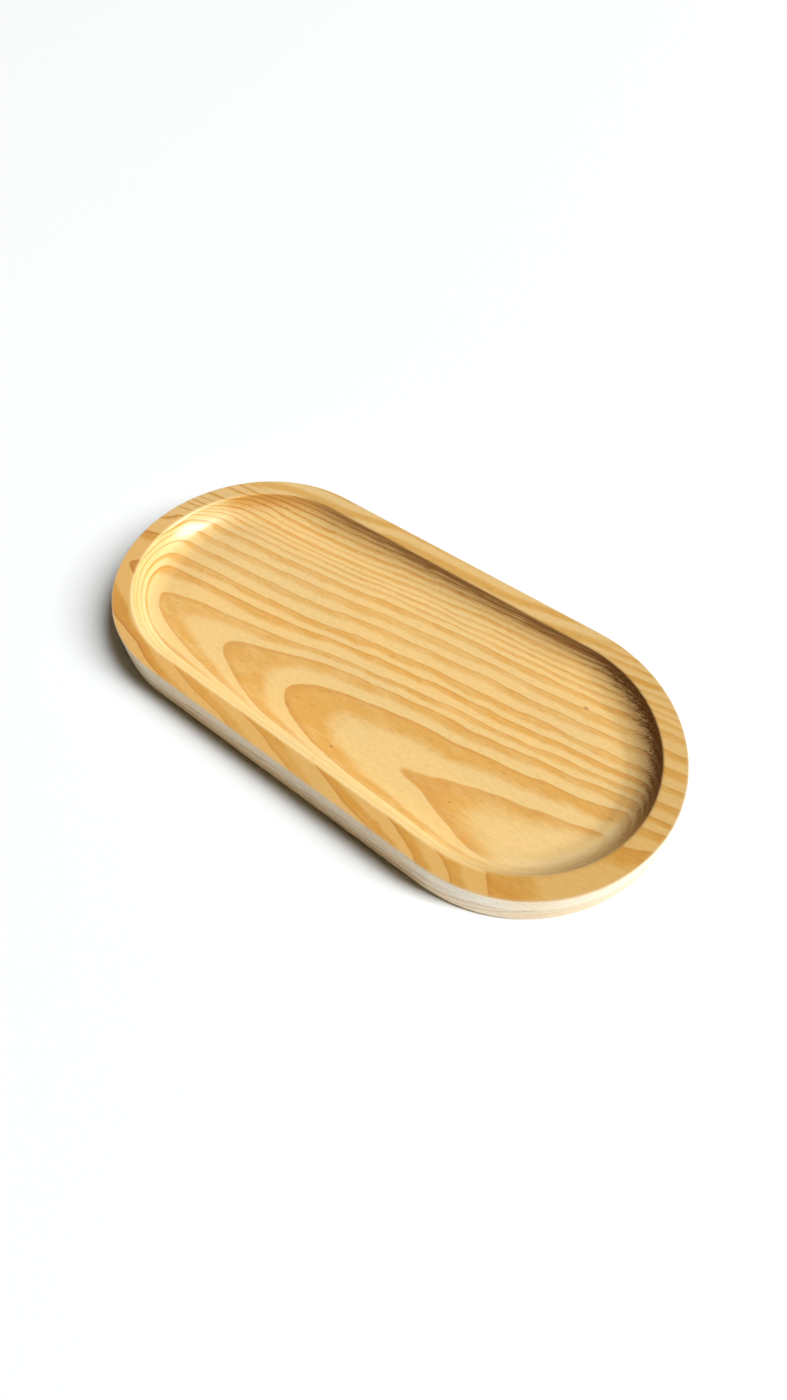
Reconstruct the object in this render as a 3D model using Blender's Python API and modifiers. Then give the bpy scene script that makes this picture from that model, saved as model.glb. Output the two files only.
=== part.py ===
"""Oval serving tray: one board routed to a coved recess, on four thin anti-slip pads.

Metres, +Z up. The origin is on the resting plane, under the middle of the tray, and +X runs
along the tray's length. The board's plan is a straight stretch between two half circles.
"""

import math

import bmesh
import bpy

# Board
TRAY_LENGTH = 0.300
TRAY_WIDTH = 0.143
BOARD_THICKNESS = 0.020
UNDERSIDE_ROUND = 0.0012

# Recess, whose cove is rounder than it is deep, so it meets the rim at an angle
RIM_WIDTH = 0.0105
RECESS_DEPTH = 0.010
COVE_RADIUS = 0.016
RIM_EDGE_EASE = 0.0005

# Anti-slip pads, measured from the board's side and end to each pad's centre
PAD_DIAMETER = 0.012
PAD_THICKNESS = 0.001
PAD_EDGE_EASE = 0.0002
PAD_SIDE_INSET = 0.020
PAD_END_INSET = 0.060

# Clearance between a pad and the underside it is stuck to
SEAT_GAP = 0.0003

# Fineness of the round stretches
STEPS_PER_END = 44
COVE_STEPS = 10
UNDERSIDE_STEPS = 3
RIM_EDGE_STEPS = 2
PAD_STEPS = 32

# A cutter reaches this far past the face it opens
CUT_OVERRUN = 0.005
# A ring of edges is known by its height to within this
LEVEL_TOLERANCE = 1e-5
WELD_DISTANCE = 1e-5
# Edges sharper than this are eased, and edges duller than this are shaded smooth
EASE_ANGLE = math.radians(60)
SMOOTH_ANGLE = math.radians(40)

BOARD_BOTTOM = PAD_THICKNESS + SEAT_GAP
BOARD_TOP = BOARD_BOTTOM + BOARD_THICKNESS
RECESS_FLOOR = BOARD_TOP - RECESS_DEPTH
# How far the cove reaches in from the rim, and where the cutter's upright side stands
COVE_REACH = math.sqrt(COVE_RADIUS**2 - (COVE_RADIUS - RECESS_DEPTH) ** 2)
CUTTER_INSET = RIM_WIDTH + COVE_REACH - COVE_RADIUS


def clear_scene():
    for obj in list(bpy.data.objects):
        bpy.data.objects.remove(obj, do_unlink=True)


def collection(name):
    made = bpy.data.collections.new(name)
    bpy.context.scene.collection.children.link(made)
    return made


def material(name, colour, roughness, metallic=0.0):
    made = bpy.data.materials.new(name)
    made.use_nodes = True
    shader = made.node_tree.nodes["Principled BSDF"]
    shader.inputs["Base Color"].default_value = (*colour, 1.0)
    shader.inputs["Roughness"].default_value = roughness
    shader.inputs["Metallic"].default_value = metallic
    return made


def oval_outline(inset):
    """Points of the board's outline, moved inwards by inset: two half circles and the straights between."""
    radius = TRAY_WIDTH / 2 - inset
    centre = (TRAY_LENGTH - TRAY_WIDTH) / 2
    points = []
    for side in (1, -1):
        for step in range(STEPS_PER_END + 1):
            angle = side * math.pi / 2 * (2 * step / STEPS_PER_END - 1)
            points.append((side * (centre + radius * math.cos(angle)), radius * math.sin(angle)))
    return points


def oval_slab(name, inset, low, high):
    """A closed slab of the oval outline between two heights, made from a flat curve."""
    curve = bpy.data.curves.new(name + "_outline", "CURVE")
    curve.dimensions = "2D"
    curve.fill_mode = "BOTH"
    curve.extrude = (high - low) / 2
    points = oval_outline(inset)
    spline = curve.splines.new("POLY")
    spline.points.add(len(points) - 1)
    for point, (x, y) in zip(spline.points, points):
        point.co = (x, y, 0.0, 1.0)
    spline.use_cyclic_u = True

    flat = bpy.data.objects.new(name + "_outline", curve)
    flat.location.z = (high + low) / 2
    bpy.context.scene.collection.objects.link(flat)
    bpy.context.view_layer.update()
    evaluated = flat.evaluated_get(bpy.context.evaluated_depsgraph_get())
    mesh = bpy.data.meshes.new_from_object(evaluated)
    mesh.name = name
    mesh.transform(flat.matrix_world)
    bpy.data.objects.remove(flat, do_unlink=True)

    slab = bmesh.new()
    slab.from_mesh(mesh)
    bmesh.ops.remove_doubles(slab, verts=slab.verts, dist=WELD_DISTANCE)
    bmesh.ops.dissolve_limit(
        slab, angle_limit=math.radians(1), verts=slab.verts, edges=slab.edges
    )
    bmesh.ops.recalc_face_normals(slab, faces=slab.faces)
    slab.to_mesh(mesh)
    slab.free()
    return bpy.data.objects.new(name, mesh)


def round_ring(obj, level, radius, steps):
    """Rounds the ring of edges that lies at one height."""
    shape = bmesh.new()
    shape.from_mesh(obj.data)
    ring = [
        edge
        for edge in shape.edges
        if all(abs(vert.co.z - level) < LEVEL_TOLERANCE for vert in edge.verts)
    ]
    bmesh.ops.bevel(
        shape,
        geom=ring,
        offset=radius,
        offset_type="OFFSET",
        segments=steps,
        profile=0.5,
        affect="EDGES",
        clamp_overlap=False,
    )
    shape.to_mesh(obj.data)
    shape.free()


def shade_round(obj):
    obj.data.shade_smooth()
    obj.data.set_sharp_from_angle(angle=SMOOTH_ANGLE)


def make_recess_cutter(cutters):
    """The router's path: an oval whose foot is rounded to the cove and whose side stays above the rim."""
    top = RECESS_FLOOR + COVE_RADIUS + CUT_OVERRUN
    cutter = oval_slab("recess_cutter", CUTTER_INSET, RECESS_FLOOR, top)
    round_ring(cutter, RECESS_FLOOR, COVE_RADIUS, COVE_STEPS)
    cutter.hide_render = True
    cutter.display_type = "WIRE"
    cutters.objects.link(cutter)
    return cutter


def make_board(parts, cutter, wood):
    board = oval_slab("tray_board", 0.0, BOARD_BOTTOM, BOARD_TOP)
    round_ring(board, BOARD_BOTTOM, UNDERSIDE_ROUND, UNDERSIDE_STEPS)
    board.data.materials.append(wood)
    shade_round(board)
    parts.objects.link(board)

    cut = board.modifiers.new("recess", "BOOLEAN")
    cut.operation = "DIFFERENCE"
    cut.solver = "EXACT"
    cut.object = cutter

    ease = board.modifiers.new("eased_rim_edges", "BEVEL")
    ease.width = RIM_EDGE_EASE
    ease.segments = RIM_EDGE_STEPS
    ease.limit_method = "ANGLE"
    ease.angle_limit = EASE_ANGLE
    ease.use_clamp_overlap = False


def make_pad(parts, name, x, y, rubber):
    """A disc whose lower edge is eased, standing on the resting plane."""
    disc = bmesh.new()
    bmesh.ops.create_cone(
        disc,
        cap_ends=True,
        segments=PAD_STEPS,
        radius1=PAD_DIAMETER / 2,
        radius2=PAD_DIAMETER / 2,
        depth=PAD_THICKNESS,
    )
    mesh = bpy.data.meshes.new(name)
    disc.to_mesh(mesh)
    disc.free()
    pad = bpy.data.objects.new(name, mesh)
    round_ring(pad, -PAD_THICKNESS / 2, PAD_EDGE_EASE, 1)
    pad.location = (x, y, PAD_THICKNESS / 2)
    pad.data.materials.append(rubber)
    shade_round(pad)
    parts.objects.link(pad)


def build():
    clear_scene()
    parts = collection("oval_serving_tray")
    cutters = collection("cutters")
    wood = material("varnished_pine", (0.72, 0.43, 0.15), 0.35)
    rubber = material("grey_rubber", (0.30, 0.29, 0.27), 0.60)

    make_board(parts, make_recess_cutter(cutters), wood)

    pad_x = TRAY_LENGTH / 2 - PAD_END_INSET
    pad_y = TRAY_WIDTH / 2 - PAD_SIDE_INSET
    for depth_name, y in (("front", -pad_y), ("back", pad_y)):
        for side_name, x in (("left", -pad_x), ("right", pad_x)):
            make_pad(parts, f"foot_pad_{depth_name}_{side_name}", x, y, rubber)


build()
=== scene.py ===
import math

import bpy
import bmesh
from mathutils import Matrix, Vector

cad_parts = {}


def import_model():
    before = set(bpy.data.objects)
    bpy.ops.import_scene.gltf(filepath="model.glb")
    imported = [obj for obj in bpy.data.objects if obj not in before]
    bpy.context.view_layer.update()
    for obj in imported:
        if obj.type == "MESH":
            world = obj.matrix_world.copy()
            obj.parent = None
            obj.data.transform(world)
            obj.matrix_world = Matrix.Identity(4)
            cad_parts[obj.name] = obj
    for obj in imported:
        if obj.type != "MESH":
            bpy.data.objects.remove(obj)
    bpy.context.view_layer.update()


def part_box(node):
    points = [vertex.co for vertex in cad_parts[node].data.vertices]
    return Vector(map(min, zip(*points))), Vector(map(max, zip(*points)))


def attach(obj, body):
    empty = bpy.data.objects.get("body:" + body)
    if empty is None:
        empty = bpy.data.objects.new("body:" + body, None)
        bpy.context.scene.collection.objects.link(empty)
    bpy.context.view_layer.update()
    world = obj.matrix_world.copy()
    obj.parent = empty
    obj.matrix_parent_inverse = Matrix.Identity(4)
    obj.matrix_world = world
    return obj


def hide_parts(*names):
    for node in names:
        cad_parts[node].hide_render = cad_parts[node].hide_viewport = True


# Lengths are in millimetres, and scales per millimetre, unless a comment says metres.
MM = 0.001

# Board, as in the part's source.
HALF_LENGTH = 150.0
HALF_WIDTH = 71.5
STRAIGHT_HALF = HALF_LENGTH - HALF_WIDTH
BOARD_BOTTOM = 1.3
BOARD_TOP = 21.3
RECESS_FLOOR = 11.3
RECESS_DEPTH = BOARD_TOP - RECESS_FLOOR
RIM_WIDTH = 10.5
RIM_INNER = HALF_WIDTH - RIM_WIDTH
COVE_RADIUS = 16.0
EDGE_ROUND = 0.5
LIP_ROUND = 1.3
UNDERSIDE_ROUND = 1.2

# Fineness of the board's mesh. The last three say where rings of points lie, as shares of a face.
ARC_STEPS = 96
STRAIGHT_STEPS = 44
COVE_STEPS = 18
EDGE_STEPS = 5
UNDERSIDE_RINGS = 5
UNDERSIDE_LAST_INSET = 6.0
UNDERSIDE_MARGIN = 0.4
SIDE_RINGS = (0.03, 0.25, 0.5, 0.75, 0.97)
RIM_RINGS = (0.05, 0.35, 0.65, 0.95)
FLOOR_RINGS = (0.02, 0.1, 0.25, 0.45, 0.7, 1.0)

# Points of a mesh that lie closer than this, in metres, are joined.
WELD_DISTANCE = 1e-6

# Foot pads. The underside has a shallow ring moulded in it: radius and height of its points.
PADS = ("foot_pad_front_left", "foot_pad_front_right", "foot_pad_back_left", "foot_pad_back_right")
PAD_RADIUS = 6.0
PAD_HEIGHT = 1.0
PAD_ROUND = 0.2
PAD_STEPS = 72
PAD_UNDERSIDE = ((0.0, 0.12), (2.2, 0.12), (2.6, 0.03), (3.0, 0.0), (5.2, 0.0))
PAD_TOP_RING = 4.0

# In what follows, a stretch is (from, to), over which something comes on, or (from, to, first, last)
# where it doesn't go from 0 to 1. Heights are counted from the floor of the recess unless said.
# A curve is a list of (place, value). A tint is multiplied into the colour. Colours are linear.

# The tree's centre runs below the board, a little off the long axis, and leans, so that the growth
# rings show as nested arches on the floor. Its y is a polynomial in hundreds of millimetres of x.
# PITH_Y, TAPER and the third to sixteenth of RING_WIDTHS are a least-squares fit to ring edges that
# a program followed in the photograph, rounded. TRUNK_BEND began as that fit's, then was changed.
PITH_DEPTH = 70.0
PITH_Y = (-35.8, -1.2, 1.3)
PITH_UNIT = 0.01
TAPER = (49.0, 87.0, -0.005, 0.084)
TRUNK_BEND = (
    (-150, 1.5), (-110, -0.12), (-75, -0.03), (-45, -0.28), (-15, -1.38), (20, -1.5), (60, -0.6),
    (105, 0.1), (150, 0.6),
)
FIRST_RING = 60.0
RING_WIDTHS = (
    3.5, 3.5, 3.2, 3.1, 2.3, 3.8, 3.8, 5.7, 5.5, 5.3, 3.1, 2.8, 2.4, 3.1, 2.7, 3.3, 3.4, 3.0, 3.0,
    3.0, 3.2, 3.0, 3.0, 3.0, 3.0, 3.0,
)
LINE_SHIFT = 0.05

# Slow wandering of the grain, stronger in the outer rings.
WANDER = 0.9
WANDER_SCALE = (0.016, 0.06, 0.06)
RIPPLE = 1.7
RIPPLE_SCALE = (0.05, 0.12, 0.12)
UNREST = (70.0, 84.0, 0.15, 1.0)

# The rings were laid out on a floor this deep. On the real one they are drawn out a little from a
# centre, given with its height above the floor, and on the wall they follow a power of its height.
LAYOUT_DEPTH = 12.0
LAYOUT_CENTRE = (152.2, -166.2, 310.0)
STEEP_POWER = 0.7

# The rim is cut higher in the tree, where the rings stand closer. The shifts say by how many rings
# it is off, by x at the front and by y at the ends. The tilt is per millimetre across the rim.
# Nine points of RIGHT_SHIFT and eight of LEFT_SHIFT are what a program printed from the same fit,
# rounded, and FRONT_SHIFT began as such numbers.
RIM_CLIMB = (1.0, 11.0)
FRONT_PART = (-35.0, -60.0)
LEFT_TO_RIGHT = (-25.0, 25.0)
FRONT_SHIFT = (
    (-150, 0.95), (-135, 0.80), (-122, 0.46), (-107, 0.62), (-96, 0.70), (-84, 0.6), (-56, 0.31),
    (-7, 0.33), (26, -0.1), (64, -0.5), (88, -1.22), (107, -1.5), (122, -1.1), (150, -0.7),
)
FRONT_TILT = ((-150, 0.036), (64, 0.03), (88, -0.01), (107, -0.047), (150, -0.047))
RIGHT_SHIFT = (
    (-45, -0.4), (-34, -0.25), (-24, -0.12), (-13, -0.05), (-3, -0.15), (3, 0.19), (11, 0.18),
    (18, 0.44), (34, 0.6), (42, 0.3), (52, 0.33), (60, 0.03), (71, -0.2),
)
LEFT_SHIFT = (
    (-46, 0.45), (-38, 0.42), (-29, 0.12), (-22, 0.25), (-10, 0.32), (5, -0.09), (13, -0.39),
    (18, -0.32), (22, 0.12), (31, 0.45), (41, -0.21), (50, -0.08), (71, 0.0),
)

# The back rim is cut through broader rings, which bend over towards its left end.
BACK_RINGS = (
    (-150, -1.3), (-121, -0.73), (-105, -0.37), (-92, -0.17), (-78, -0.13), (-68, -0.24),
    (-50, -0.68), (-33, -1.1), (-8, -1.17), (22, -1.29), (34, -1.37), (46, -1.63), (67, -2.12),
    (95, -2.73), (150, -4.0),
)
BACK_FIRST_RING = 3.5
BACK_RING_WIDTH = 9.0
BACK_UNEVEN = 0.25
BACK_RAGGED = 0.22
BACK_RISE = (0.22, 0.47)
BACK_DROP = (0.68, 0.94, 1.0, 0.0)
BACK_DARK = 0.72
BACK_FROM = (42.0, 54.0)
BACK_TO = (76.0, 98.0, 1.0, 0.0)

# Fibres: scales along the grain, outwards through the rings and sideways. How uneven a ring is
# depends on its number in place of the way outwards.
FIBRE_SCALE = (0.03, 1.5, 1.5)
FINE_SCALE = (0.12, 5.0, 5.0)
FIBRE_STREAK = 0.7
FINE_STREAK = 0.8
UNEVEN_SCALE = (0.025, 7.3, 0.02)

# Where each ring's late wood starts, as a share of the ring, and how dark it is.
RING_START = (
    0.50, 0.28, 0.26, 0.32, 0.33, 0.38, 0.30, 0.42, 0.36, 0.38, 0.42, 0.40, 0.45, 0.36, 0.44, 0.35,
    0.40, 0.38, 0.42,
)
RING_DARK = (
    0.60, 0.85, 1.00, 0.85, 0.75, 0.95, 0.85, 0.70, 0.65, 0.80, 0.60, 0.70, 0.60, 0.75, 0.60, 0.85,
    0.75, 0.85, 0.75,
)
OUTER_RING = (0.40, 0.80)
START_UNEVEN = 0.55
START_STREAK = 0.50
FRONT_EARLIER = ((-150, 0.18), (-136, 0.24), (-122, 0.56), (-107, 0.33), (-90, 0.18), (-55, 0.0))
LATE_RISE = 0.30
LATE_DROP = (0.984, 1.0, 1.0, 0.06)
EDGE_RISE = (0.82, 0.96)
PATCH_SCALE = (0.055, 0.16, 0.16)
PATCHES = (0.34, 0.66, 0.74, 1.20)

# The innermost arch has a little less late wood towards the right.
INNERMOST_RING = (0.99, 1.0, 1.0, 0.0)
INNERMOST_FROM = (45.0, 100.0)
INNERMOST_LATER = 0.38

# The left wall shows thin dark lines.
LEFT_WALL_CLIMB = (0.6, 2.5)
LEFT_WALL_FROM = (-60.0, -95.0)
LEFT_WALL_LATER = 0.22
LEFT_WALL_DARKER = 0.30

# Painted light on the near wall and its corner at the right: they are made paler, with fainter late
# wood, standing for the light and sheen they catch.
NEAR_SHEEN_CLIMB = (1.0, 5.0)
NEAR_SHEEN_LIP = (RECESS_DEPTH - 0.3, RECESS_DEPTH, 1.0, 0.0)
NEAR_SHEEN_FROM = (-24.0, -50.0)
NEAR_SHEEN_PALER = 0.8
NEAR_SHEEN_SHARE = 0.5
NEAR_SHEEN_TINT = (1.02, 1.06, 1.15)
CORNER_CLIMB = (0.15, 1.6)
CORNER_FROM_X = (80.0, 108.0)
CORNER_FROM_Y = (8.0, -12.0)
CORNER_SHARE = 0.9
CORNER_TINT = (1.15, 1.20, 1.32)

# Grain of the recess and the rim, with warm and cool clouds.
EARLY = (0.855, 0.585, 0.226)
LATE = (0.73, 0.385, 0.075)
DARK_LINE = (0.60, 0.26, 0.045)
DARK_LINE_SHARE = 0.45
STREAK_SHARE = 0.70
LATE_STREAK_SHARE = 0.9
CLOUD_SCALE = (0.012, 0.03, 0.03)
CLOUDS = (0.35, 0.65)
WARM_TINT = (1.02, 1.0, 0.96)
COOL_TINT = (0.97, 0.985, 1.02)

# Outer side, which is paler and greyer: partly its own tone and partly painted light standing for fill
# light. Heights from the table.
SIDE_EARLY = (1.0, 0.84, 0.55)
SIDE_LATE = (0.84, 0.60, 0.33)
SIDE_GRAIN_SHARE = 0.9
SIDE_THREADS = (0.38, 0.62, 0.84, 1.06)
# Painted shade: low down, near the table, the side is darker and browner.
LOW_SIDE = (4.0, 11.0, 1.0, 0.0)
LOW_SIDE_SHADE = (1.0, 0.93, 0.82)
SIDE_LINE_SHARE = 0.8
SIDE_LINE_TINT = (0.82, 0.70, 0.54)
# Painted light: the side is paler towards both ends, fading out at the far right, standing for floor
# bounce and fill light.
PALE_ENDS_FROM = (60.0, 88.0)
PALE_ENDS_TO = (104.0, 124.0, 1.0, 0.0)
PALE_ENDS_TINT = (1.08, 1.14, 1.25)
RIGHT_END = (104.0, 126.0)
RIGHT_END_TINT = (0.88, 0.84, 0.78)
FAR_SIDE = (-14.0, 30.0)
FAR_SIDE_CLIMB = (1.6, 3.2)
FAR_SIDE_TINT = (0.84, 0.79, 0.68)

# Left end of the recess, which is a little darker.
LEFT_END_FROM = (-92.0, -120.0)
LEFT_END_LIP = (RECESS_DEPTH - 0.5, RECESS_DEPTH - 0.05, 1.0, 0.0)
LEFT_END_CLIMB = (1.5, 6.0)
LEFT_FOOT_TINT = (0.90, 0.91, 0.93)
LEFT_HIGH_TINT = (0.85, 0.81, 0.75)

# Near wall, pale with a painted highlight. A slant is how much x and y count, and a turn is where
# their sum brings the effect on.
NEAR_HIGHLIGHT_SLANT = (0.004, 0.010)
NEAR_HIGHLIGHT_CLIMB = (0.6, 4.6)
NEAR_HIGHLIGHT_TURN = (-0.05, -0.30)
NEAR_HIGHLIGHT_LIP = (RECESS_DEPTH - 0.25, RECESS_DEPTH - 0.02, 1.0, 0.0)
NEAR_HIGHLIGHT_TINT = (1.12, 1.25, 1.42)

# Painted light along the low part of the wall at the right: it is made paler and greyer, standing for
# light and a sheen there.
LOW_WALL_LIGHT_FROM = (0.1, 0.9)
LOW_WALL_LIGHT_TO = (3.0, 5.5, 1.0, 0.0)
LOW_WALL_LIGHT_SLANT = (0.006, 0.012)
LOW_WALL_LIGHT_TURN = (0.28, 0.60)
LOW_WALL_LIGHT_RIGHT = (50.0, 120.0, 0.35, 1.0)
LOW_WALL_LIGHT_TINT = (1.17, 1.16, 1.12)

# Painted shade on the wall at the back and the right: dark brown, weaker away from one place. Next to
# it an amber tone, partly the wood's deeper tone and partly painted shade.
WALL_SHADE_SLANT = (0.004, 0.012)
WALL_SHADE_TURN = (0.28, 0.62)
WALL_SHADE_CENTRE = (118.0, 45.0)
WALL_SHADE_FADE = (15.0, 75.0)
WALL_SHADE_FADE_SHARE = (-5.0, 35.0, 0.62, 0.33)
WALL_SHADE_FADE_HEIGHT = 1.7
WALL_SHADE_CLIMB = (3.2, 7.2)
WALL_SHADE_LIP = (RECESS_DEPTH - 0.5, RECESS_DEPTH - 0.1, 1.0, 0.0)
WALL_SHADE_RAGGED = 12.0
WALL_SHADE_RAGGED_FINE = 7.0
WALL_SHADE_RAGGED_LATE = 1.6
WALL_SHADE_GAPS = (0.36, 0.60, 0.80, 1.0)
WALL_SHADE_GAPS_FINE = (0.36, 0.62, 0.68, 1.0)
WALL_SHADE_TINT = (0.185, 0.066, 0.004)
WALL_SHADE_GRAIN = (0.36, 0.64, 0.55, 1.55)
WALL_SHADE_ROUGHNESS = 0.85
AMBER_CLIMB = (2.0, 7.5)
AMBER_SLANT = (0.002, 0.012)
AMBER_TURN = (0.05, 0.19)
AMBER_SHARE = 0.9
AMBER_TINT = (0.86, 0.64, 0.28)

# Pin knots on the floor: x, y, size. A distance along x counts for less, which draws them out.
PIN_KNOTS = ((92.4, 37.4, 0.85), (127.0, -21.0, 0.55), (70.2, -37.9, 0.5), (12.5, -47.6, 0.6))
KNOT_ALONG = 0.6
KNOT_RAGGED = 1.6
KNOT_FADE = (0.3, 1.3, 0.75, 0.0)
KNOT_CLIMB = (0.3, 0.8, 1.0, 0.0)
KNOT_COLOUR = (0.36, 0.17, 0.05)

# Resin canals: short thin dashes along the grain, stronger in late wood.
CANAL_SCALE = (0.09, 0.55, 0.55)
CANAL_WIDTH = (0.09, 0.20, 1.0, 0.0)
CANAL_STRENGTH = 0.22
CANAL_LATE_STRENGTH = 0.5
CANAL_SHARE = 0.7
CANAL_COLOUR = (0.42, 0.20, 0.06)

# Rim, whose tone is deeper than the floor's.
TOP_CLIMB = (RECESS_DEPTH - 0.6, RECESS_DEPTH - 0.02)
RIM_FRONT_TO_BACK = (-30.0, 40.0)
RIM_FRONT_TINT = (0.820, 0.692, 0.462)
RIM_BACK_TINT = (0.825, 0.760, 0.636)
RIM_RIGHT = (60.0, 120.0)
RIM_RIGHT_TINT = (0.965, 0.975, 0.96)
RIM_LEFT = (-60.0, -110.0)
RIM_LEFT_BACK = (-35.0, 10.0)
RIM_LEFT_TINT = (1.02, 1.05, 1.13)
RIM_EARLY_TINT = (1.03, 1.04, 1.10)
RIM_LATE_TINT = (1.01, 1.03, 0.81)
BACK_EARLY_TINT = (1.03, 1.08, 1.18)
NO_TINT = (1.0, 1.0, 1.0)

# The rim has a painted highlight that makes it pale along its near lip, and is rubbed dull along its
# outer edge.
LIP_HIGHLIGHT_WIDTH = (RIM_INNER + 0.6, RIM_INNER + 2.2, 1.0, 0.0)
LIP_HIGHLIGHT_TURN = (0.0, -0.4)
LIP_HIGHLIGHT_SHARE = 0.75
LIP_HIGHLIGHT_COLOUR = (0.93, 0.68, 0.31)
RUBBED_WIDTH = (HALF_WIDTH - 1.3, HALF_WIDTH - 0.2)
RUBBED_RAGGED = 2.0
RUBBED_SHARE = 0.55
RUBBED_COLOUR = (0.60, 0.46, 0.28)

# Fine mottling, in which the blue swings more.
BLOTCH_SCALE = (0.30, 0.7, 0.7)
BLOTCHES = (0.25, 0.75, 0.935, 1.065)
FLECKS = (0.36, 0.64, 0.97, 1.03)
BLOTCH_BLUE = 1.5

# Varnish: a satin coat in slight relief, from the grain and an orange peel.
ROUGHNESS = 0.33
FIBRE_ROUGHNESS = 0.08
LATE_ROUGHNESS = -0.04
SPECULAR = 0.12
COAT = 0.85
COAT_ROUGHNESS = 0.25
COAT_IOR = 1.5
PEEL_SCALE = 0.45
PEEL_RELIEF = 0.5
FINE_RELIEF = 0.5
LATE_RELIEF = 0.25
CANAL_RELIEF = 0.4
WOOD_BUMP = 0.35
WOOD_BUMP_HEIGHT = 0.06 * MM

# Rubber, speckled and dusty. Scales per metre.
SPECK_SCALE = 1800.0
SPECKS = (0.35, 0.7)
SPECK_DARK = (0.040, 0.039, 0.036)
SPECK_PALE = (0.070, 0.068, 0.062)
PAD_DUST_SCALE = 260.0
PAD_DUST = (0.5, 0.75)
PAD_DUST_SHARE = 0.35
PAD_DUST_COLOUR = (0.16, 0.145, 0.12)
RUBBER_ROUGHNESS = (0.2, 0.8, 0.55, 0.72)
RUBBER_SPECULAR = 0.35
RUBBER_BUMP = 0.4
RUBBER_BUMP_HEIGHT = 0.05 * MM

# Floor, in metres. Its colour where the picture shows it, and where it only gives light.
FLOOR_HALF_SIZE = 8.0
FLOOR_LEVEL = -0.00005
FLOOR_SEEN = (0.96, 0.995, 1.0)
FLOOR_GIVEN = (0.97, 0.93, 0.87)

# Soft light of the room: direction, spread by the cosine of the angle, strength.
ROOM_GLOWS = (
    ((0.20, 0.25, 0.95), (0.2, 1.0), 0.02),
    ((-0.65, -0.75, 0.10), (0.62, 0.97), 0.15),
    ((0.05, 0.95, 0.25), (0.62, 0.97), 0.34),
)
ROOM_COLOUR = (1.0, 0.76, 0.46)
WHITE = (1.0, 1.0, 1.0)

# Lamp, in metres and watts: one large softbox to the right, taller than it is wide.
LAMP_WIDTH = 6.9
LAMP_HEIGHT = 23.1
LAMP_POWER = 13400.0
LAMP_COLOUR = (0.99, 0.99, 1.0)
LAMP_DIRECTION = (0.92, 0.30, 1.0)
LAMP_DISTANCE = 30.0

# Camera. Its place and nearest distance are in metres, its angles in degrees.
CAMERA_PLACE = (0.1522, -0.1662, 0.3213)
CAMERA_CLIP_START = 0.01
CAMERA_AZIMUTH = 40.34
CAMERA_ELEVATION = 53.33
CAMERA_ROLL = 2.9
CAMERA_LENS = 20.62
CAMERA_SENSOR = 36.0
CAMERA_SHIFT_Y = -0.0336


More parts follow.
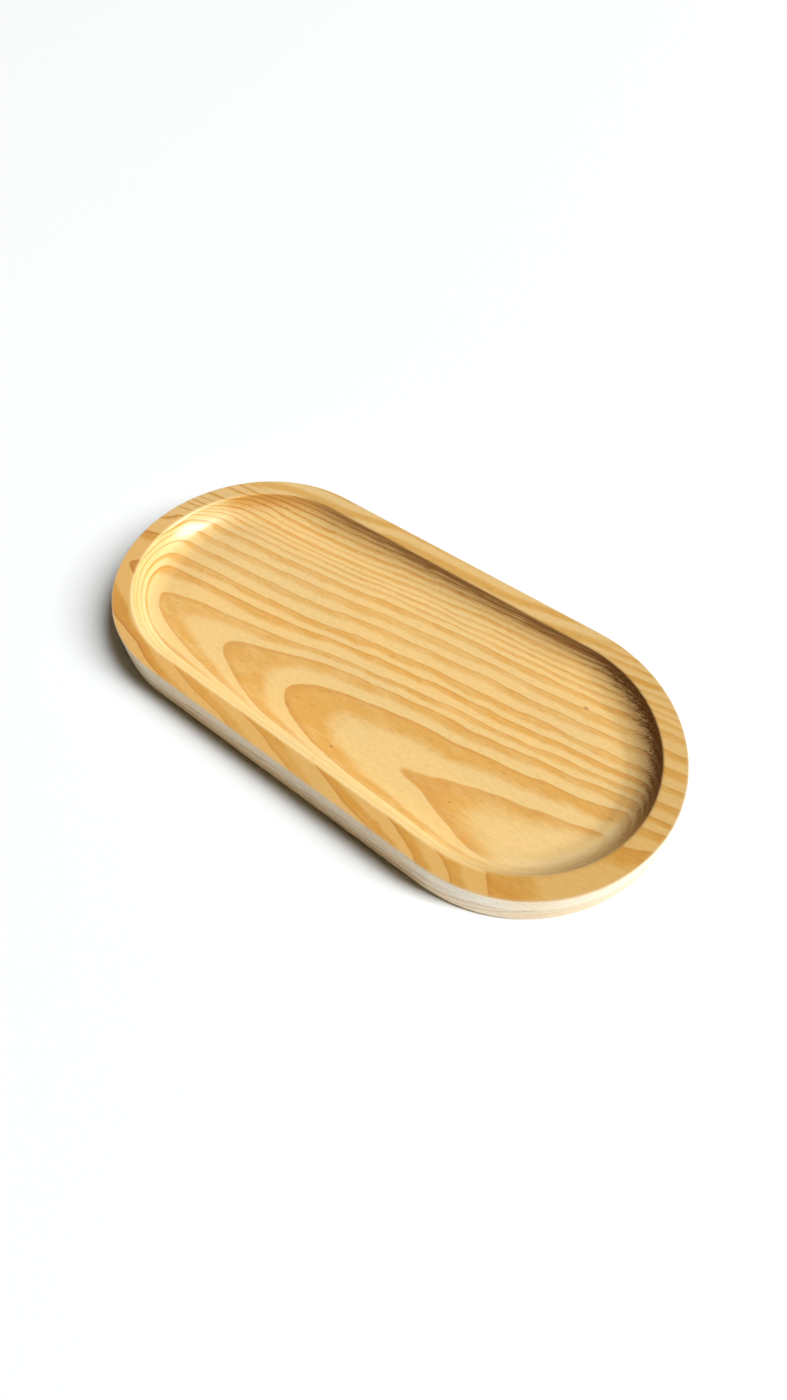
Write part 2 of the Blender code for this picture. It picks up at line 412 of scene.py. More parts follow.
class Graph:
    """Short calls for building a node tree."""

    def __init__(self, tree):
        self.nodes = tree.nodes
        self.links = tree.links

    def put(self, socket, value):
        if isinstance(value, bpy.types.NodeSocket):
            self.links.new(value, socket)
        elif value is not None:
            socket.default_value = value

    def math(self, operation, a, b=None, c=None, clamp=False):
        node = self.nodes.new("ShaderNodeMath")
        node.operation = operation
        node.use_clamp = clamp
        for socket, value in zip(node.inputs, (a, b, c)):
            self.put(socket, value)
        return node.outputs[0]

    def add(self, a, b):
        return self.math("ADD", a, b)

    def sub(self, a, b):
        return self.math("SUBTRACT", a, b)

    def mul(self, a, b):
        return self.math("MULTIPLY", a, b)

    def length(self, a, b):
        return self.math("SQRT", self.add(self.mul(a, a), self.mul(b, b)))

    def swing(self, noise, amount):
        """A noise made to swing about zero."""
        return self.mul(self.sub(noise, 0.5), amount)

    def step(self, value, low, high, to_low=0.0, to_high=1.0, smooth=True):
        node = self.nodes.new("ShaderNodeMapRange")
        node.interpolation_type = "SMOOTHSTEP" if smooth else "LINEAR"
        node.clamp = True
        names = ("Value", "From Min", "From Max", "To Min", "To Max")
        for name, item in zip(names, (value, low, high, to_low, to_high)):
            self.put(node.inputs[name], item)
        return node.outputs["Result"]

    def curve(self, value, points, handle="AUTO"):
        """A curve through (input, output) points, in their own units."""
        xs, ys = zip(*points)
        x0, x1, y0, y1 = min(xs), max(xs), min(ys), max(ys)
        node = self.nodes.new("ShaderNodeFloatCurve")
        line = node.mapping.curves[0]
        scaled = [((x - x0) / (x1 - x0), (y - y0) / (y1 - y0)) for x, y in points]
        line.points[0].location = scaled[0]
        line.points[1].location = scaled[-1]
        for place in scaled[1:-1]:
            line.points.new(*place)
        for point in line.points:
            point.handle_type = handle
        node.mapping.update()
        self.put(node.inputs["Value"], self.step(value, x0, x1, smooth=False))
        return self.math("MULTIPLY_ADD", node.outputs[0], y1 - y0, y0)

    def combine(self, x, y, z):
        node = self.nodes.new("ShaderNodeCombineXYZ")
        for socket, value in zip(node.inputs, (x, y, z)):
            self.put(socket, value)
        return node.outputs[0]

    def grey(self, value):
        return self.combine(value, value, value)

    def stretched(self, place, scales):
        return self.combine(*[self.mul(part, scale) for part, scale in zip(place, scales)])

    def noise(self, vector, scale=1.0, detail=2.0, rough=0.5):
        node = self.nodes.new("ShaderNodeTexNoise")
        node.noise_dimensions = "3D"
        self.put(node.inputs["Vector"], vector)
        for name, item in (("Scale", scale), ("Detail", detail), ("Roughness", rough)):
            self.put(node.inputs[name], item)
        return node.outputs[0]

    def dot(self, vector, direction):
        node = self.nodes.new("ShaderNodeVectorMath")
        node.operation = "DOT_PRODUCT"
        self.put(node.inputs[0], vector)
        node.inputs[1].default_value = Vector(direction).normalized()
        return node.outputs["Value"]

    def mix(self, factor, a, b, blend="MIX"):
        node = self.nodes.new("ShaderNodeMix")
        node.data_type = "RGBA"
        node.blend_type = blend
        self.put(node.inputs[0], factor)
        for socket, value in ((node.inputs[6], a), (node.inputs[7], b)):
            self.put(socket, value if isinstance(value, bpy.types.NodeSocket) else (*value, 1.0))
        return node.outputs[2]

    def multiply(self, a, b):
        return self.mix(1.0, a, b, blend="MULTIPLY")

    def tint(self, factor, colour, tint):
        return self.mix(factor, colour, self.multiply(colour, tint))

    def blend(self, factor, a, b):
        node = self.nodes.new("ShaderNodeMix")
        node.data_type = "FLOAT"
        self.put(node.inputs[0], factor)
        self.put(node.inputs[2], a)
        self.put(node.inputs[3], b)
        return node.outputs[0]

    def bump(self, height, strength, distance):
        node = self.nodes.new("ShaderNodeBump")
        node.inputs["Strength"].default_value = strength
        node.inputs["Distance"].default_value = distance
        self.put(node.inputs["Height"], height)
        return node.outputs[0]


def new_material(name):
    material = bpy.data.materials.new(name)
    material.use_nodes = True
    graph = Graph(material.node_tree)
    shader = graph.nodes["Principled BSDF"]
    return material, graph, shader


def ring_radii():
    radii = [FIRST_RING]
    for width in RING_WIDTHS:
        radii.append(radii[-1] + width)
    return radii


class Pine:
    """The board's varnished pine. Each method adds one stage and keeps what later ones need."""

    def __init__(self):
        self.material, self.g, self.shader = new_material("varnished_pine")
        self.find_place()
        self.lay_rings()
        self.lay_fibres()
        self.mark_near_sheen()
        self.grow_late_wood()
        self.cross_back_rim()
        self.colour_grain()
        self.colour_side()
        self.tone_recess()
        self.shade_wall()
        self.add_knots()
        self.add_canals()
        self.tone_rim()
        self.mottle()
        self.varnish()

    def find_place(self):
        """True places on the board, and those at which the rings were laid out."""
        g = self.g
        coords = g.nodes.new("ShaderNodeTexCoord")
        scale = g.nodes.new("ShaderNodeVectorMath")
        scale.operation = "SCALE"
        g.put(scale.inputs[0], coords.outputs["Object"])
        scale.inputs["Scale"].default_value = 1 / MM
        self.place = scale.outputs[0]
        split = g.nodes.new("ShaderNodeSeparateXYZ")
        g.put(split.inputs[0], self.place)
        self.true_x, self.true_y, self.true_z = split.outputs

        climb = g.sub(self.true_z, RECESS_FLOOR)
        self.above = g.math("MAXIMUM", climb, 0.0)
        share = g.math("DIVIDE", self.above, RECESS_DEPTH)
        steep = g.mul(self.above, g.math("POWER", share, STEEP_POWER))
        self.z = g.add(g.sub(climb, self.above), g.mul(steep, LAYOUT_DEPTH / RECESS_DEPTH))
        spread = (LAYOUT_DEPTH - RECESS_DEPTH) / LAYOUT_CENTRE[2]
        low_down = g.step(self.above, 0.0, RECESS_DEPTH, spread, 0.0, smooth=False)
        self.x = g.add(self.true_x, g.mul(low_down, g.sub(self.true_x, LAYOUT_CENTRE[0])))
        self.y = g.add(self.true_y, g.mul(low_down, g.sub(self.true_y, LAYOUT_CENTRE[1])))

        # Distance from the middle line of the oval, on which the outline lies at half the width.
        past_end = g.math("MAXIMUM", g.sub(g.math("ABSOLUTE", self.true_x), STRAIGHT_HALF), 0.0)
        self.across = g.length(past_end, self.true_y)

        outside = g.nodes.new("ShaderNodeAttribute")
        outside.attribute_name = "outer_side"
        self.outer = outside.outputs["Fac"]
        self.inner = g.sub(1.0, self.outer)

    def slant(self, share_x, share_y):
        return self.g.add(self.g.mul(self.true_y, share_y), self.g.mul(self.true_x, share_x))

    def lay_rings(self):
        """Counts the rings by the distance from the pith, with the trunk's taper and a slow bend."""
        g = self.g
        place = (self.x, self.y, self.z)
        wander = g.swing(g.noise(g.stretched(place, WANDER_SCALE), detail=1.0), WANDER)
        ripple = g.swing(g.noise(g.stretched(place, RIPPLE_SCALE), detail=1.0), RIPPLE)

        hundreds = g.mul(self.x, PITH_UNIT)
        slope = g.math("MULTIPLY_ADD", hundreds, PITH_Y[2], PITH_Y[1])
        self.from_pith = g.sub(self.y, g.math("MULTIPLY_ADD", slope, hundreds, PITH_Y[0]))
        radius = g.length(self.from_pith, g.add(self.z, PITH_DEPTH))
        taper = g.mul(g.step(radius, *TAPER), self.x)
        unrest = g.mul(g.add(wander, ripple), g.step(radius, *UNREST))
        self.reach = g.add(g.sub(radius, taper), g.add(g.curve(self.x, TRUNK_BEND), unrest))
        counted = [(reach, i - 1.0) for i, reach in enumerate(ring_radii())]
        count = g.add(g.curve(self.reach, counted, handle="VECTOR"), self.rim_shift())
        self.count = g.add(count, LINE_SHIFT)
        self.phase = g.math("FRACT", self.count)
        self.ring = g.math("FLOOR", self.count)

    def rim_shift(self):
        g = self.g
        on_rim = g.step(self.z, *RIM_CLIMB)
        front_part = g.step(self.y, *FRONT_PART)
        self.front_rim = g.mul(on_rim, front_part)
        tilt = g.mul(g.sub(self.across, HALF_WIDTH - RIM_WIDTH / 2), g.curve(self.x, FRONT_TILT))
        front = g.add(g.curve(self.x, FRONT_SHIFT), tilt)
        left = g.curve(self.y, LEFT_SHIFT)
        right = g.curve(self.y, RIGHT_SHIFT)
        ends = g.blend(g.step(self.x, *LEFT_TO_RIGHT), left, right)
        return g.mul(on_rim, g.blend(front_part, ends, front))

    def lay_fibres(self):
        """Fine fibres along the grain, and how uneven each ring is along its length."""
        g = self.g
        along = (self.x, self.reach, self.from_pith)
        self.fibre = g.noise(g.stretched(along, FIBRE_SCALE), detail=4.0, rough=0.6)
        self.fine = g.noise(g.stretched(along, FINE_SCALE), detail=3.0, rough=0.6)
        self.streak = g.add(g.swing(self.fibre, FIBRE_STREAK), g.swing(self.fine, FINE_STREAK))
        self.uneven = g.noise(g.stretched((self.x, self.ring, self.y), UNEVEN_SCALE), detail=2.0)

    def mark_near_sheen(self):
        # Painted light: masks for the near wall and the corner at the right, which are made paler.
        g = self.g
        lip = g.step(self.above, *NEAR_SHEEN_LIP)
        wall = g.mul(g.step(self.above, *NEAR_SHEEN_CLIMB), lip)
        wall = g.mul(wall, g.step(self.true_y, *NEAR_SHEEN_FROM))
        corner = g.mul(g.step(self.true_x, *CORNER_FROM_X), g.step(self.true_y, *CORNER_FROM_Y))
        self.corner = g.mul(g.mul(g.step(self.above, *CORNER_CLIMB), lip), corner)
        self.near_sheen = g.math("MAXIMUM", wall, self.corner)

    def ring_look(self):
        """Looks up where this ring's late wood starts and how dark it is.

        The rings count from -1, and each is looked up in the middle of its stretch of the ramp.
        """
        g = self.g
        table = g.nodes.new("ShaderNodeValToRGB")
        table.color_ramp.interpolation = "CONSTANT"
        kinds = list(zip(RING_START, RING_DARK)) + [OUTER_RING]
        stops = table.color_ramp.elements
        for i, (first, dark) in enumerate(kinds):
            place = i / len(kinds)
            stop = stops[i] if i < 2 else stops.new(place)
            stop.position = place
            stop.color = (first, dark, 0.0, 1.0)
        middle = g.math("MULTIPLY_ADD", self.ring, 1.0 / len(kinds), 1.5 / len(kinds), clamp=True)
        g.put(table.inputs[0], middle)
        look = g.nodes.new("ShaderNodeSeparateColor")
        g.put(look.inputs[0], table.outputs[0])
        return look.outputs[0], look.outputs[1]

    def grow_late_wood(self):
        """Late wood comes on unevenly along the ring and ends at a crisp line."""
        g = self.g
        start, dark = self.ring_look()
        uneven = g.add(g.swing(self.uneven, START_UNEVEN), g.mul(self.streak, START_STREAK))
        innermost = g.mul(g.step(self.count, *INNERMOST_RING), g.step(self.true_x, *INNERMOST_FROM))
        self.left_wall = g.mul(
            g.step(self.above, *LEFT_WALL_CLIMB), g.step(self.true_x, *LEFT_WALL_FROM)
        )
        start = g.add(g.add(start, uneven), g.mul(innermost, INNERMOST_LATER))
        start = g.add(start, g.mul(self.left_wall, LEFT_WALL_LATER))
        start = g.sub(start, g.mul(self.front_rim, g.curve(self.x, FRONT_EARLIER)))

        # Painted light: the late wood is fainter on the near wall and its corner.
        dark = g.mul(dark, g.sub(1.0, g.mul(self.near_sheen, NEAR_SHEEN_PALER)))
        dark = g.add(dark, g.mul(self.left_wall, LEFT_WALL_DARKER))
        place = (self.x, self.y, self.z)
        patches = g.noise(g.stretched(place, PATCH_SCALE), detail=3.0, rough=0.6)
        rise = g.step(self.phase, start, g.add(start, LATE_RISE))
        drop = g.step(self.phase, *LATE_DROP)
        self.late = g.mul(g.mul(rise, drop), g.mul(dark, g.step(patches, *PATCHES)))
        self.edge = g.mul(g.mul(g.step(self.phase, *EDGE_RISE), drop), dark)

    def cross_back_rim(self):
        """Puts the back rim's own broad rings in place of the others."""
        g = self.g
        outwards = g.mul(g.sub(self.across, RIM_INNER), 1.0 / BACK_RING_WIDTH)
        count = g.add(outwards, g.add(g.curve(self.true_x, BACK_RINGS), BACK_FIRST_RING))
        uneven = g.add(g.swing(self.uneven, BACK_UNEVEN), g.mul(self.streak, BACK_RAGGED))
        phase = g.math("FRACT", g.add(count, uneven))
        late = g.mul(g.step(phase, *BACK_RISE), g.step(phase, *BACK_DROP))
        part = g.mul(g.step(self.true_y, *BACK_FROM), g.step(self.true_x, *BACK_TO))
        self.back_rim = g.mul(g.step(self.above, *TOP_CLIMB), part)
        self.late = g.blend(self.back_rim, self.late, g.mul(late, BACK_DARK))
        self.edge = g.mul(self.edge, g.sub(1.0, self.back_rim))

    def colour_grain(self):
        g = self.g
        strength = g.add(g.mul(self.late, LATE_STREAK_SHARE), STREAK_SHARE)
        self.grain = g.math("ADD", self.late, g.mul(self.streak, strength), clamp=True)
        line = g.add(g.mul(self.left_wall, DARK_LINE_SHARE), DARK_LINE_SHARE)
        self.colour = g.mix(self.grain, EARLY, LATE)
        self.colour = g.mix(g.mul(self.edge, line), self.colour, DARK_LINE)

    def colour_side(self):
        g = self.g
        colour = g.mix(g.mul(self.grain, SIDE_GRAIN_SHARE), SIDE_EARLY, SIDE_LATE)
        colour = g.multiply(colour, g.grey(g.step(self.fine, *SIDE_THREADS)))
        # Painted shade: the side is darker and browner near the table.
        colour = g.tint(g.step(self.true_z, *LOW_SIDE), colour, LOW_SIDE_SHADE)
        colour = g.tint(g.mul(self.edge, SIDE_LINE_SHARE), colour, SIDE_LINE_TINT)
        # Painted light: the side is made paler towards both ends.
        both_ends = g.step(g.math("ABSOLUTE", self.true_x), *PALE_ENDS_FROM)
        pale_ends = g.mul(both_ends, g.step(self.true_x, *PALE_ENDS_TO))
        colour = g.tint(pale_ends, colour, PALE_ENDS_TINT)
        colour = g.tint(g.step(self.true_x, *RIGHT_END), colour, RIGHT_END_TINT)
        far = g.mul(g.step(self.true_y, *FAR_SIDE), g.step(self.true_z, *FAR_SIDE_CLIMB))
        colour = g.tint(far, colour, FAR_SIDE_TINT)
        self.colour = g.mix(self.outer, self.colour, colour)

    def tone_recess(self):
        """Warm and cool clouds, a darker left end, and painted light: a pale near wall and a paler low
        wall at the right.
        """
        g = self.g
        clouds = g.noise(g.stretched((self.x, self.y, self.z), CLOUD_SCALE), detail=2.0)
        colour = g.multiply(self.colour, g.mix(g.step(clouds, *CLOUDS), WARM_TINT, COOL_TINT))

        left_end = g.mul(g.step(self.true_x, *LEFT_END_FROM), g.step(self.above, *LEFT_END_LIP))
        left_tint = g.mix(g.step(self.above, *LEFT_END_CLIMB), LEFT_FOOT_TINT, LEFT_HIGH_TINT)
        colour = g.tint(g.mul(left_end, self.inner), colour, left_tint)

        # Painted light: the near wall and its corner are made paler.
        colour = g.tint(g.mul(self.near_sheen, NEAR_SHEEN_SHARE), colour, NEAR_SHEEN_TINT)
        colour = g.tint(g.mul(self.corner, CORNER_SHARE), colour, CORNER_TINT)
        # Painted highlight: the near wall is made pale, most of all high up below the lip.
        turned = g.step(self.slant(*NEAR_HIGHLIGHT_SLANT), *NEAR_HIGHLIGHT_TURN)
        near_highlight = g.mul(g.mul(g.step(self.above, *NEAR_HIGHLIGHT_CLIMB), turned), self.inner)
        colour = g.tint(g.mul(near_highlight, g.step(self.above, *NEAR_HIGHLIGHT_LIP)), colour, NEAR_HIGHLIGHT_TINT)

        # Painted light: the low part of the wall at the right is made paler and greyer.
        low_wall_light = g.mul(g.step(self.above, *LOW_WALL_LIGHT_FROM), g.step(self.above, *LOW_WALL_LIGHT_TO))
        low_wall_light = g.mul(low_wall_light, g.step(self.slant(*LOW_WALL_LIGHT_SLANT), *LOW_WALL_LIGHT_TURN))
        low_wall_light = g.mul(low_wall_light, g.step(self.true_x, *LOW_WALL_LIGHT_RIGHT))
        self.colour = g.tint(low_wall_light, colour, LOW_WALL_LIGHT_TINT)

    def shade_wall(self):
        """Painted shade: the wall is made dark brown, higher up and more in the late wood."""
        g = self.g
        off_x = g.sub(self.true_x, WALL_SHADE_CENTRE[0])
        off_y = g.sub(self.true_y, WALL_SHADE_CENTRE[1])
        far_off = g.step(g.length(off_x, off_y), *WALL_SHADE_FADE)
        fade = g.mul(far_off, g.step(self.true_y, *WALL_SHADE_FADE_SHARE))
        turned = g.step(self.slant(*WALL_SHADE_SLANT), *WALL_SHADE_TURN)
        turned = g.mul(turned, g.sub(1.0, fade))

        ragged = g.add(g.swing(self.fine, WALL_SHADE_RAGGED_FINE), g.mul(self.late, WALL_SHADE_RAGGED_LATE))
        height = g.add(self.above, g.add(g.swing(self.fibre, WALL_SHADE_RAGGED), ragged))
        wall = g.mul(g.step(self.above, *WALL_SHADE_LIP), self.inner)
        wall_shade = g.step(g.sub(height, g.mul(far_off, WALL_SHADE_FADE_HEIGHT)), *WALL_SHADE_CLIMB)
        gaps = g.mul(g.step(self.fine, *WALL_SHADE_GAPS_FINE), g.step(self.fibre, *WALL_SHADE_GAPS))
        self.wall_shade = g.mul(g.mul(g.mul(wall_shade, gaps), turned), wall)

        # Amber next to the dark wall: partly the wood's deeper tone there and partly painted shade.
        amber = g.mul(g.step(height, *AMBER_CLIMB), g.step(self.slant(*AMBER_SLANT), *AMBER_TURN))
        amber = g.mul(g.mul(amber, wall), g.sub(1.0, turned))
        colour = g.tint(g.mul(amber, AMBER_SHARE), self.colour, AMBER_TINT)
        shade_grain = g.grey(g.step(self.fine, *WALL_SHADE_GRAIN))
        shaded = g.multiply(g.multiply(colour, WALL_SHADE_TINT), shade_grain)
        self.colour = g.mix(self.wall_shade, colour, shaded)

    def add_knots(self):
        g = self.g
        on_floor = g.step(self.above, *KNOT_CLIMB)
        for knot_x, knot_y, size in PIN_KNOTS:
            away_x = g.mul(g.sub(self.true_x, knot_x), KNOT_ALONG / size)
            away_y = g.mul(g.sub(self.true_y, knot_y), 1.0 / size)
            away = g.add(g.length(away_x, away_y), g.swing(self.fine, KNOT_RAGGED))
            self.colour = g.mix(g.mul(g.step(away, *KNOT_FADE), on_floor), self.colour, KNOT_COLOUR)

    def add_canals(self):
        g = self.g
        cells = g.nodes.new("ShaderNodeTexVoronoi")
        cells.feature = "F1"
        along = (self.x, self.reach, self.from_pith)
        g.put(cells.inputs["Vector"], g.stretched(along, CANAL_SCALE))
        cells.inputs["Scale"].default_value = 1.0
        strength = g.add(g.mul(self.late, CANAL_LATE_STRENGTH), CANAL_STRENGTH)
        self.canal = g.mul(g.step(cells.outputs["Distance"], *CANAL_WIDTH), strength)
        self.colour = g.mix(g.mul(self.canal, CANAL_SHARE), self.colour, CANAL_COLOUR)

    def tone_rim(self):
        g = self.g
        on_top = g.mul(g.step(self.above, *TOP_CLIMB), self.inner)
        # Painted highlight: the rim is made pale along its near lip.
        turned = g.step(self.slant(*NEAR_HIGHLIGHT_SLANT), *LIP_HIGHLIGHT_TURN)
        lip_highlight = g.mul(g.step(self.across, *LIP_HIGHLIGHT_WIDTH), turned)
        pale = g.mul(g.mul(lip_highlight, on_top), LIP_HIGHLIGHT_SHARE)
        colour = g.mix(pale, self.colour, LIP_HIGHLIGHT_COLOUR)
        on_top = g.mul(on_top, g.sub(1.0, lip_highlight))

        tint = g.mix(g.step(self.true_y, *RIM_FRONT_TO_BACK), RIM_FRONT_TINT, RIM_BACK_TINT)
        tint = g.tint(g.step(self.true_x, *RIM_RIGHT), tint, RIM_RIGHT_TINT)
        left_back = g.mul(g.step(self.true_x, *RIM_LEFT), g.step(self.true_y, *RIM_LEFT_BACK))
        tint = g.tint(left_back, tint, RIM_LEFT_TINT)
        tint = g.mix(self.late, g.multiply(tint, RIM_EARLY_TINT), g.multiply(tint, RIM_LATE_TINT))
        colour = g.tint(on_top, colour, tint)
        back_tint = g.mix(self.late, BACK_EARLY_TINT, NO_TINT)
        colour = g.tint(g.mul(on_top, self.back_rim), colour, back_tint)

        ragged = g.add(self.across, g.swing(self.fine, RUBBED_RAGGED))
        rubbed = g.mul(g.mul(on_top, g.step(ragged, *RUBBED_WIDTH)), RUBBED_SHARE)
        self.colour = g.mix(rubbed, colour, RUBBED_COLOUR)

    def mottle(self):
        g = self.g
        place = (self.true_x, self.true_y, self.true_z)
        blotch = g.noise(g.stretched(place, BLOTCH_SCALE), detail=3.0, rough=0.7)
        blotch = g.mul(g.step(blotch, *BLOTCHES, smooth=False), g.step(self.fine, *FLECKS))
        blue = g.math("MULTIPLY_ADD", blotch, BLOTCH_BLUE, 1.0 - BLOTCH_BLUE)
        self.colour = g.multiply(self.colour, g.combine(blotch, blotch, blue))

    def varnish(self):
        """A satin coat over the wood, with no coat and a rough surface where the wall has painted
        shade, so that it stays dark.
        """
        g = self.g
        inputs = self.shader.inputs
        g.put(inputs["Base Color"], self.colour)
        rough = g.math("MULTIPLY_ADD", self.fibre, FIBRE_ROUGHNESS, ROUGHNESS)
        rough = g.add(g.mul(self.late, LATE_ROUGHNESS), rough)
        g.put(inputs["Roughness"], g.blend(self.wall_shade, rough, WALL_SHADE_ROUGHNESS))
        inputs["Specular IOR Level"].default_value = SPECULAR
        g.put(inputs["Coat Weight"], g.blend(self.wall_shade, COAT, 0.0))
        inputs["Coat Roughness"].default_value = COAT_ROUGHNESS
        inputs["Coat IOR"].default_value = COAT_IOR

        peel = g.mul(g.noise(self.place, scale=PEEL_SCALE, detail=2.0), PEEL_RELIEF)
        height = g.add(g.mul(self.fine, FINE_RELIEF), g.add(g.mul(self.late, LATE_RELIEF), peel))
        height = g.sub(height, g.mul(self.canal, CANAL_RELIEF))
        bump = g.bump(height, WOOD_BUMP, WOOD_BUMP_HEIGHT)
        g.put(inputs["Normal"], bump)
        g.put(inputs["Coat Normal"], bump)


def rubber_material():
    material, g, shader = new_material("grey_rubber")
    coords = g.nodes.new("ShaderNodeTexCoord")
    speck = g.noise(coords.outputs["Object"], scale=SPECK_SCALE, detail=3.0)
    dust = g.noise(coords.outputs["Object"], scale=PAD_DUST_SCALE, detail=2.0)
    colour = g.mix(g.step(speck, *SPECKS), SPECK_DARK, SPECK_PALE)
    colour = g.mix(g.mul(g.step(dust, *PAD_DUST), PAD_DUST_SHARE), colour, PAD_DUST_COLOUR)
    g.put(shader.inputs["Base Color"], colour)
    g.put(shader.inputs["Roughness"], g.step(speck, *RUBBER_ROUGHNESS))
    shader.inputs["Specular IOR Level"].default_value = RUBBER_SPECULAR
    g.put(shader.inputs["Normal"], g.bump(speck, RUBBER_BUMP, RUBBER_BUMP_HEIGHT))
    return material


def oval_stations():
    """(straight offset, angle) all the way round the oval, from the left end of the front straight."""
    along = [2 * STRAIGHT_HALF * i / STRAIGHT_STEPS for i in range(STRAIGHT_STEPS)]
    turn = [math.pi * i / ARC_STEPS for i in range(ARC_STEPS)]
    stations = [(-STRAIGHT_HALF + run, -math.pi / 2) for run in along]
    stations += [(STRAIGHT_HALF, -math.pi / 2 + angle) for angle in turn]
    stations += [(STRAIGHT_HALF - run, math.pi / 2) for run in along]
    stations += [(-STRAIGHT_HALF, math.pi / 2 + angle) for angle in turn]
    return stations


def quarter(inset, height, radius, start, end, steps):
    """Points of a round between two angles, given its centre as inset and height."""
    points = []
    for i in range(steps + 1):
        angle = math.radians(start + (end - start) * i / steps)
        points.append((inset + radius * math.cos(angle), height + radius * math.sin(angle)))
    return points


def outer_profile():
    """(inset from the outline, height, outer side) from the middle of the underside to the rim."""
    profile = []
    for i in range(UNDERSIDE_RINGS):
        profile.append((HALF_WIDTH * (1 - i / UNDERSIDE_RINGS), BOARD_BOTTOM, 1.0))
    for inset in (UNDERSIDE_LAST_INSET, UNDERSIDE_ROUND + UNDERSIDE_MARGIN):
        profile.append((inset, BOARD_BOTTOM, 1.0))
    low = BOARD_BOTTOM + UNDERSIDE_ROUND
    for inset, height in quarter(UNDERSIDE_ROUND, low, UNDERSIDE_ROUND, 270, 180, EDGE_STEPS):
        profile.append((inset, height, 1.0))
    high = BOARD_TOP - EDGE_ROUND
    for part in SIDE_RINGS:
        profile.append((0.0, low + (high - low) * part, 1.0))
    for i, (inset, height) in enumerate(quarter(EDGE_ROUND, high, EDGE_ROUND, 180, 90, EDGE_STEPS)):
        profile.append((inset, height, 1.0 - i / EDGE_STEPS))
    return profile


def inner_profile():
    """The same from the rim to the middle of the recess.

    The cove's round is larger than the recess is deep, so it meets the rim at an angle, and the
    lip between them is rounded over.
    """
    above_centre = COVE_RADIUS - RECESS_DEPTH
    start = RIM_WIDTH + math.sqrt(COVE_RADIUS**2 - above_centre**2)
    lean = math.degrees(math.asin((above_centre + LIP_ROUND) / (COVE_RADIUS + LIP_ROUND)))
    lip = start - (COVE_RADIUS + LIP_ROUND) * math.cos(math.radians(lean))
    cove_centre = RECESS_FLOOR + COVE_RADIUS

    points = []
    for part in RIM_RINGS:
        points.append((EDGE_ROUND + (RIM_WIDTH - LIP_ROUND - EDGE_ROUND) * part, BOARD_TOP))
    points += quarter(lip, BOARD_TOP - LIP_ROUND, LIP_ROUND, 90, lean, EDGE_STEPS)
    points += quarter(start, cove_centre, COVE_RADIUS, 180 + lean, 270, COVE_STEPS)[1:]
    for part in FLOOR_RINGS:
        points.append((start + (HALF_WIDTH - start) * part, RECESS_FLOOR))
    return [(inset, height, 0.0) for inset, height in points]


def skin(name, rings, outer_shares=None):
    """A closed mesh over rings of points. A ring's share of the outer side is kept at its points."""
    work = bmesh.new()
    if outer_shares:
        outer = work.verts.layers.float.new("outer_side")
    loops = [[work.verts.new(point) for point in ring] for ring in rings]
    if outer_shares:
        for loop, share in zip(loops, outer_shares):
            for vert in loop:
                vert[outer] = share
    for lower, upper in zip(loops, loops[1:]):
        for i in range(len(lower)):
            j = (i + 1) % len(lower)
            work.faces.new((lower[i], lower[j], upper[j], upper[i]))
    bmesh.ops.remove_doubles(work, verts=work.verts, dist=WELD_DISTANCE)
    bmesh.ops.recalc_face_normals(work, faces=work.faces)
    mesh = bpy.data.meshes.new(name)
    work.to_mesh(mesh)
    work.free()
    mesh.shade_smooth()
    piece = bpy.data.objects.new(name, mesh)
    bpy.context.scene.collection.objects.link(piece)
    return piece


def make_board():
    profile = outer_profile() + inner_profile()
    stations = oval_stations()
    rings = []
    for inset, height, _ in profile:
        radius = HALF_WIDTH - inset
        ring = []
        for offset, angle in stations:
            x = offset + radius * math.cos(angle)
            y = radius * math.sin(angle)
            ring.append((x * MM, y * MM, height * MM))
        rings.append(ring)
    return skin("board_body", rings, [outer for _, _, outer in profile])


def make_pad(name, centre):
    """A moulded rubber foot with a rounded edge."""
    inset = PAD_RADIUS - PAD_ROUND
    profile = list(PAD_UNDERSIDE)
    profile += quarter(inset, PAD_ROUND, PAD_ROUND, 270, 360, EDGE_STEPS)
    profile += quarter(inset, PAD_HEIGHT - PAD_ROUND, PAD_ROUND, 0, 90, EDGE_STEPS)
    profile += [(PAD_TOP_RING, PAD_HEIGHT), (0.0, PAD_HEIGHT)]
    rings = []
    for radius, height in profile:
        ring = []
        for i in range(PAD_STEPS):
            angle = 2 * math.pi * i / PAD_STEPS
            offset = Vector((radius * math.cos(angle), radius * math.sin(angle), height))
            ring.append(centre + offset * MM)
        rings.append(ring)
    return skin(name, rings)


def seen_ray(g):
    """1 where the picture shows this surface, even in a reflection, and 0 where it only gives light."""
    path = g.nodes.new("ShaderNodeLightPath")
    seen = g.math("MAXIMUM", path.outputs["Is Camera Ray"], path.outputs["Is Glossy Ray"])
    seen = g.math("MAXIMUM", seen, path.outputs["Is Transmission Ray"])
    return g.mul(seen, g.math("LESS_THAN", path.outputs["Diffuse Depth"], 0.5))


def floor_material():
    material, g, shader = new_material("white_floor")
    g.nodes.remove(shader)
    diffuse = g.nodes.new("ShaderNodeBsdfDiffuse")
    g.put(diffuse.inputs["Color"], g.mix(seen_ray(g), FLOOR_GIVEN, FLOOR_SEEN))
    g.put(g.nodes["Material Output"].inputs["Surface"], diffuse.outputs[0])
    return material


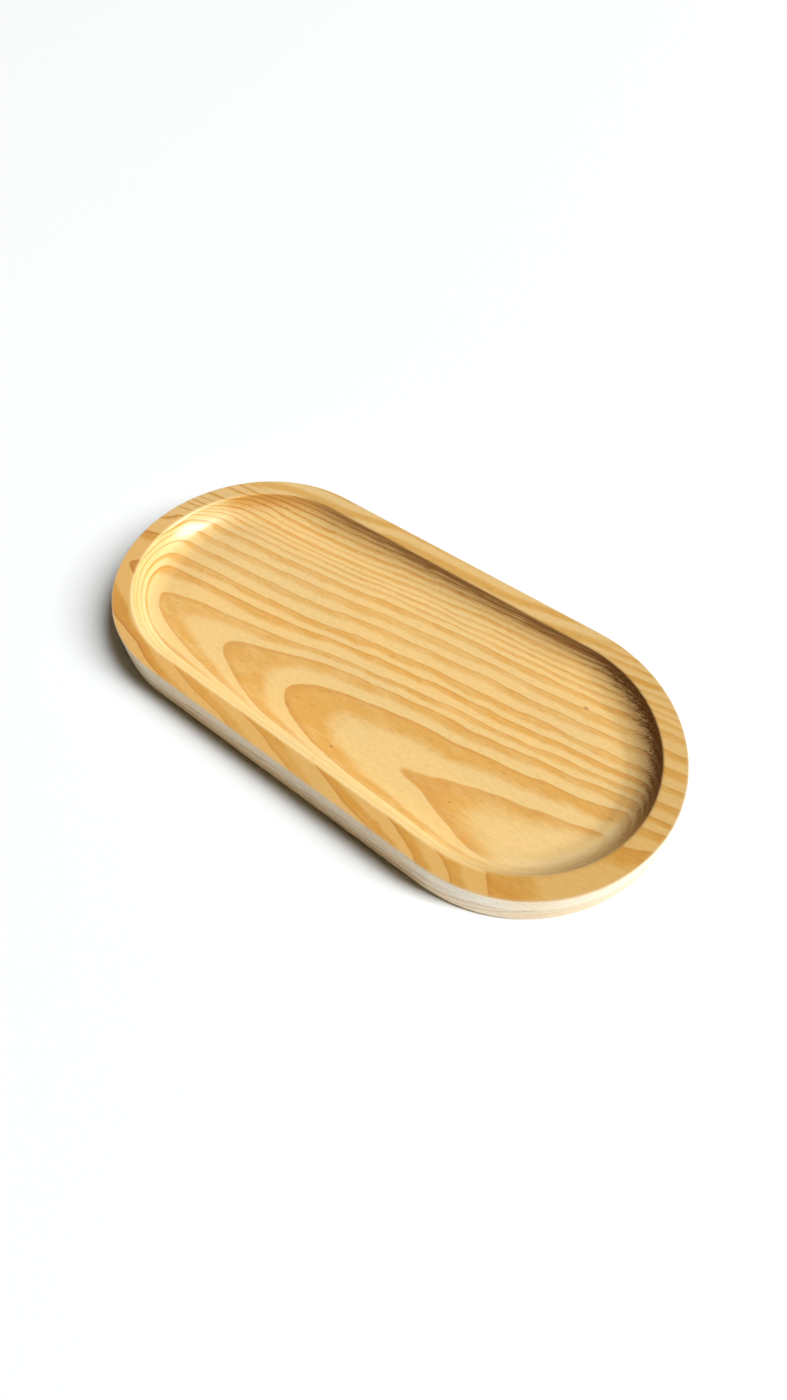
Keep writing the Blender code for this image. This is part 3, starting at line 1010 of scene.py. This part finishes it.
def make_floor():
    mesh = bpy.data.meshes.new("floor")
    far = FLOOR_HALF_SIZE
    corners = ((-far, -far), (far, -far), (far, far), (-far, far))
    mesh.from_pydata([(x, y, FLOOR_LEVEL) for x, y in corners], [], [(0, 1, 2, 3)])
    floor = bpy.data.objects.new("floor", mesh)
    bpy.context.scene.collection.objects.link(floor)
    floor.data.materials.append(floor_material())


def make_world():
    world = bpy.data.worlds.new("studio")
    bpy.context.scene.world = world
    world.use_nodes = True
    g = Graph(world.node_tree)
    coords = g.nodes.new("ShaderNodeTexCoord")
    glow = 0.0
    for direction, spread, strength in ROOM_GLOWS:
        towards = g.dot(coords.outputs["Generated"], direction)
        glow = g.add(glow, g.step(towards, *spread, 0.0, strength))
    seen = seen_ray(g)
    background = g.nodes["Background"]
    g.put(background.inputs["Color"], g.mix(seen, ROOM_COLOUR, WHITE))
    g.put(background.inputs["Strength"], g.blend(seen, glow, 1.0))


def make_lamp():
    soft = bpy.data.lights.new("softbox", "AREA")
    soft.shape = "RECTANGLE"
    soft.size = LAMP_WIDTH
    soft.size_y = LAMP_HEIGHT
    soft.energy = LAMP_POWER
    soft.color = LAMP_COLOUR
    lamp = bpy.data.objects.new("softbox", soft)
    direction = Vector(LAMP_DIRECTION).normalized()
    side = Vector((0, 0, 1)).cross(direction).normalized()
    rise = direction.cross(side)
    turn = Matrix((side, rise, direction)).transposed()
    lamp.matrix_world = Matrix.Translation(direction * LAMP_DISTANCE) @ turn.to_4x4()
    bpy.context.scene.collection.objects.link(lamp)


def make_camera():
    azimuth = math.radians(CAMERA_AZIMUTH)
    elevation = math.radians(CAMERA_ELEVATION)
    roll = math.radians(CAMERA_ROLL)
    forward = Vector((
        -math.sin(azimuth) * math.cos(elevation),
        math.cos(azimuth) * math.cos(elevation),
        -math.sin(elevation),
    ))
    level_right = forward.cross(Vector((0, 0, 1))).normalized()
    level_down = forward.cross(level_right)
    right = math.cos(roll) * level_right + math.sin(roll) * level_down
    up = -forward.cross(right)
    data = bpy.data.cameras.new("camera")
    data.sensor_fit = "AUTO"
    data.sensor_width = CAMERA_SENSOR
    data.lens = CAMERA_LENS
    data.shift_y = CAMERA_SHIFT_Y
    data.clip_start = CAMERA_CLIP_START
    camera = bpy.data.objects.new("camera", data)
    turn = Matrix((right, up, -forward)).transposed()
    camera.matrix_world = Matrix.Translation(CAMERA_PLACE) @ turn.to_4x4()
    bpy.context.scene.collection.objects.link(camera)
    bpy.context.scene.camera = camera


def main():
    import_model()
    bpy.context.scene.view_settings.view_transform = "Standard"
    make_camera()
    make_world()
    make_lamp()
    make_floor()

    board = make_board()
    board.data.materials.append(Pine().material)
    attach(board, "root")
    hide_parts("tray_board")

    rubber = rubber_material()
    for node in PADS:
        low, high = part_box(node)
        middle = (low + high) / 2
        pad = make_pad(node.replace("foot_pad", "pad_piece"), Vector((middle.x, middle.y, low.z)))
        pad.data.materials.append(rubber)
        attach(pad, "root")
        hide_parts(node)


main()
